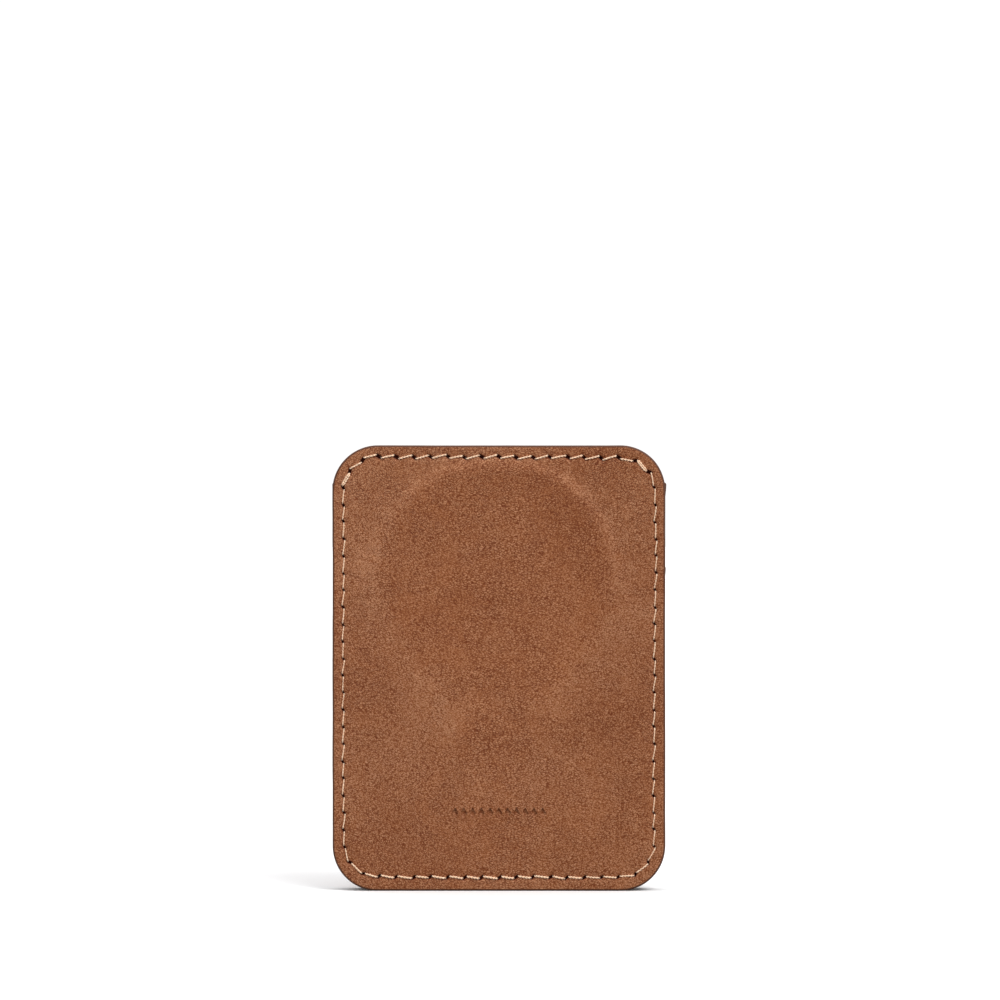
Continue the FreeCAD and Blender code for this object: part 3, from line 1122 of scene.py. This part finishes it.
def board():
    """Bonded leather board: matted fibres inside, painted where its edge shows."""
    n = Nodes("board")
    fibres = n.noise(1.1, 5.0, 0.7, n.scaled((1.0, 1.0, 2.6)), 1.2)
    inner = n.mix(fibres, linear(110, 78, 56), linear(168, 128, 96))
    split = n.add("ShaderNodeSeparateXYZ")
    n.link(n.place, split.inputs[0])
    qx = n.math("SUBTRACT", n.math("ABSOLUTE", split.outputs["X"]), (WIDTH / 2 - CORNER_R) * MM)
    lifted = n.math("SUBTRACT", split.outputs["Z"], HEIGHT / 2 * MM)
    qz = n.math("SUBTRACT", n.math("ABSOLUTE", lifted), (HEIGHT / 2 - CORNER_R) * MM)
    px = n.math("MAXIMUM", qx, 0.0)
    pz = n.math("MAXIMUM", qz, 0.0)
    far = n.math("SQRT", n.math("ADD", n.math("MULTIPLY", px, px), n.math("MULTIPLY", pz, pz)))
    rim = n.math("GREATER_THAN", far, (CORNER_R - 0.1) * MM)
    edge = n.mix(n.noise(0.8, 3.0), *EDGE_PAINT)
    n.link(n.mix(rim, inner, edge), n.shader.inputs["Base Color"])
    n.shader.inputs["Roughness"].default_value = 0.62
    n.shader.inputs["Specular IOR Level"].default_value = 0.24
    n.bump(fibres, 0.04)
    return n.material


def film():
    n = Nodes("film")
    haze = n.noise(0.3, 3.0)
    n.link(n.mix(haze, linear(206, 204, 196), linear(228, 226, 220)), n.shader.inputs["Base Color"])
    n.link(n.math("ADD", 0.35, n.math("MULTIPLY", haze, 0.2)), n.shader.inputs["Roughness"])
    n.bump(haze, 0.01)
    return n.material


MATERIALS = {
    "leather": leather(
        "leather", linear(102, 43, 5), linear(141, 81, 42), linear(185, 128, 90)
    ),
    "welt_leather": leather(
        "welt_leather", linear(82, 36, 9), linear(121, 71, 40), linear(160, 108, 74)
    ),
    "thread": thread_material(),
    "magnet": metal("nickel", (0.72, 0.70, 0.66, 1), (0.55, 0.53, 0.50, 1), 0.16, (1.0, 1.0, 1.0)),
    "steel": metal("steel", (0.60, 0.61, 0.62, 1), (0.42, 0.43, 0.45, 1), 0.28, (0.15, 1.0, 3.0)),
    "board": board(),
    "film": film(),
}

# ---------------------------------------------------------------- pieces

HALF = WIDTH / 2


def relief_or_seam(x, z):
    """Where the back panel's grid is fine: along the seam, and over the ring's upper edge."""
    if abs(seam_distance(x, z)) < SEAM_FINE:
        return True
    r = math.hypot(x, z - RING_Z)
    return RING_R - 2.0 < r < RING_R + 3.2 and z > RING_Z - 12


def shown_above(top, rounding):
    """A rounding where a layer's face is bare, and a hairline where the next layer covers it."""
    return lambda x, z: HAIRLINE + (rounding - HAIRLINE) * smooth(top - 0.2, top + 0.4, z)


def near_top(top, rounding):
    """A rounding at a pocket's free mouth, and a hairline below it where the edges are glued."""
    return lambda x, z: HAIRLINE + (rounding - HAIRLINE) * smooth(top - 1.2, top - 0.5, z)


def build_layers():
    leather_look = MATERIALS["leather"]
    welt_look = MATERIALS["welt_leather"]
    full = full_runs(-HALF, HALF)
    layer("leather_back_panel", "back_panel", full, BACK_FACE_Y, -1, BACK_T,
          height=back_height, fine=relief_or_seam, marks=mark_loops(), rub_and_highlight=ring_rub_and_highlight,
          warmth=ring_warmth, material=leather_look)
    layer("leather_lining_panel", "lining_panel", full, LINING_Y[1], 1, LINING_Y[1] - LINING_Y[0],
          front=shown_above(POCKET_TOP, 0.35), height=pocket_height(21.5), material=leather_look)
    layer("leather_rear_welt", "rear_welt",
          pocket_runs(-HALF, HALF, POCKET_TOP, welt_mouth(-HALF, HALF, POCKET_TOP)),
          REAR_WELT_Y[1], 1, REAR_WELT_Y[1] - REAR_WELT_Y[0], front=HAIRLINE,
          holes_below=POCKET_TOP, material=welt_look)
    layer("leather_pocket_panel", "pocket_panel", pocket_runs(-HALF, HALF, POCKET_TOP),
          POCKET_Y[1], 1, POCKET_Y[1] - POCKET_Y[0], front=shown_above(FRONT_TOP, 0.4),
          back=near_top(POCKET_TOP, 0.3), height=pocket_height(33.5), bend=crown(POCKET_TOP, REAR_CROWN),
          holes_below=POCKET_TOP, material=leather_look)
    layer("leather_front_welt", "front_welt",
          pocket_runs(-HALF, HALF, FRONT_TOP, welt_mouth(-HALF, HALF, FRONT_TOP)),
          FRONT_WELT_Y[1], 1, FRONT_WELT_Y[1] - FRONT_WELT_Y[0], front=HAIRLINE,
          holes_below=FRONT_TOP, material=welt_look)
    layer("leather_front_pocket", "front_pocket",
          pocket_runs(-HALF, HALF, FRONT_TOP, notched_mouth(-HALF, HALF, FRONT_TOP)),
          FRONT_Y[1], 1, FRONT_Y[1] - FRONT_Y[0], back=near_top(FRONT_TOP, 0.3),
          height=pocket_height(47.5), bend=crown(FRONT_TOP, FRONT_CROWN), holes_below=FRONT_TOP,
          material=leather_look)


# Share of the face's unevenness that the thread follows.
FOLLOWED = 0.6


def back_surface(p):
    return BACK_FACE_Y - back_height(p[0], p[1]) * FOLLOWED


def front_surface(p):
    if p[1] > POCKET_TOP:
        return LINING_Y[1]
    if p[1] > FRONT_TOP:
        return POCKET_Y[1]
    return FRONT_Y[1]


def dress_frame():
    """Carried-over CAD nodes keep their shapes and take the real materials."""
    slots = {row["node"]: row["material_slot"] for row in frame["record"]["subparts"]}
    for node, piece in frame["nodes"].items():
        for holder in piece.material_slots:
            holder.link = "OBJECT"
            holder.material = MATERIALS[slots[node]]


# Floor sheets, in metres, with their grey. The dark one lies just under the white one.
FLOOR_REACH = 8.0
FLOOR_SHADE = 0.83
FLAG_SHADE = 0.22
FLAG_DROP = 0.00002


def floor_sheet(name, level, shade):
    r = FLOOR_REACH
    mesh = bpy.data.meshes.new(name)
    mesh.from_pydata([(-r, -r, level), (r, -r, level), (r, r, level), (-r, r, level)], [], [(0, 1, 2, 3)])
    floor = bpy.data.objects.new(name, mesh)
    bpy.context.collection.objects.link(floor)
    n = Nodes(name)
    n.shader.inputs["Base Color"].default_value = (shade, shade, shade, 1)
    n.shader.inputs["Roughness"].default_value = 0.9
    n.shader.inputs["Specular IOR Level"].default_value = 0.1
    mesh.materials.append(n.material)
    return floor


# The sky by height, where 0 is straight down, 0.5 level and 1 straight up.
SKY = (
    (0.44, (0.34, 0.33, 0.32, 1)),
    (0.47, (1, 1, 1, 1)),
    (0.58, (1, 1, 1, 1)),
    (0.72, (0.50, 0.50, 0.51, 1)),
)
SKY_POWER = 1.05


def build_stage():
    """A white floor that sends little light back up to the leather, under a white sky."""
    floor = floor_sheet("floor", 0.0, FLOOR_SHADE)
    floor.visible_diffuse = False
    dark = floor_sheet("floor_flag", -FLAG_DROP, FLAG_SHADE)
    dark.visible_camera = False
    dark.visible_glossy = False

    world = bpy.data.worlds.new("studio")
    bpy.context.scene.world = world
    world.use_nodes = True
    tree = world.node_tree
    background = tree.nodes["Background"]
    place = tree.nodes.new("ShaderNodeTexCoord")
    split = tree.nodes.new("ShaderNodeSeparateXYZ")
    ramp = tree.nodes.new("ShaderNodeValToRGB")
    tree.links.new(place.outputs["Generated"], split.inputs[0])
    half = tree.nodes.new("ShaderNodeMath")
    half.operation = "MULTIPLY_ADD"
    half.inputs[1].default_value = 0.5
    half.inputs[2].default_value = 0.5
    tree.links.new(split.outputs["Z"], half.inputs[0])
    tree.links.new(half.outputs[0], ramp.inputs["Fac"])
    tree.links.new(ramp.outputs["Color"], background.inputs["Color"])
    stops = ramp.color_ramp.elements
    for position, colour in SKY:
        stops.new(position).color = colour
    stops.remove(stops[0])
    stops.remove(stops[-1])
    background.inputs["Strength"].default_value = SKY_POWER


def sun_light(name, way, spread, power):
    """A sun shining the given way, as wide in the sky as spread says in degrees."""
    lamp = bpy.data.lights.new(name, "SUN")
    lamp.energy = power
    lamp.angle = math.radians(spread)
    holder = bpy.data.objects.new(name, lamp)
    holder.rotation_euler = Vector(way).to_track_quat("-Z", "Y").to_euler()
    bpy.context.collection.objects.link(holder)


def build_lights():
    sun_light("key", (-0.26, 0.40, -0.50), 30, 1.75)
    sun_light("overhead", (-0.10, 0.35, -1.0), 80, 1.6)
    sun_light("back_fill", (0.30, -0.60, -0.55), 60, 0.9)


# Camera, in metres. The last value is the share of the frame's width that the holder fills.
CAMERA_X = 0.00024
CAMERA_Z = 0.08335
CAMERA_DISTANCE = 1.1
SENSOR_WIDTH = 36.0
WIDTH_IN_FRAME = 0.333


def build_camera():
    """Level and straight on, a little above the holder's middle, with a long lens."""
    camera = bpy.data.cameras.new("camera")
    camera.sensor_width = SENSOR_WIDTH
    camera.lens = SENSOR_WIDTH * CAMERA_DISTANCE / (WIDTH / WIDTH_IN_FRAME * MM)
    holder = bpy.data.objects.new("camera", camera)
    holder.location = (CAMERA_X, BACK_FACE_Y * MM - CAMERA_DISTANCE, CAMERA_Z)
    holder.rotation_euler = (math.pi / 2, 0, 0)
    bpy.context.collection.objects.link(holder)
    bpy.context.scene.camera = holder


bpy.context.scene.view_settings.view_transform = "Standard"
build_layers()
sewing("needle_stitches", "needle_thread", back_surface, -1, 5, DOUBLED_STITCHES)
sewing("bobbin_stitches", "bobbin_thread", front_surface, 1, 8)
dress_frame()
build_stage()
build_lights()
build_camera()
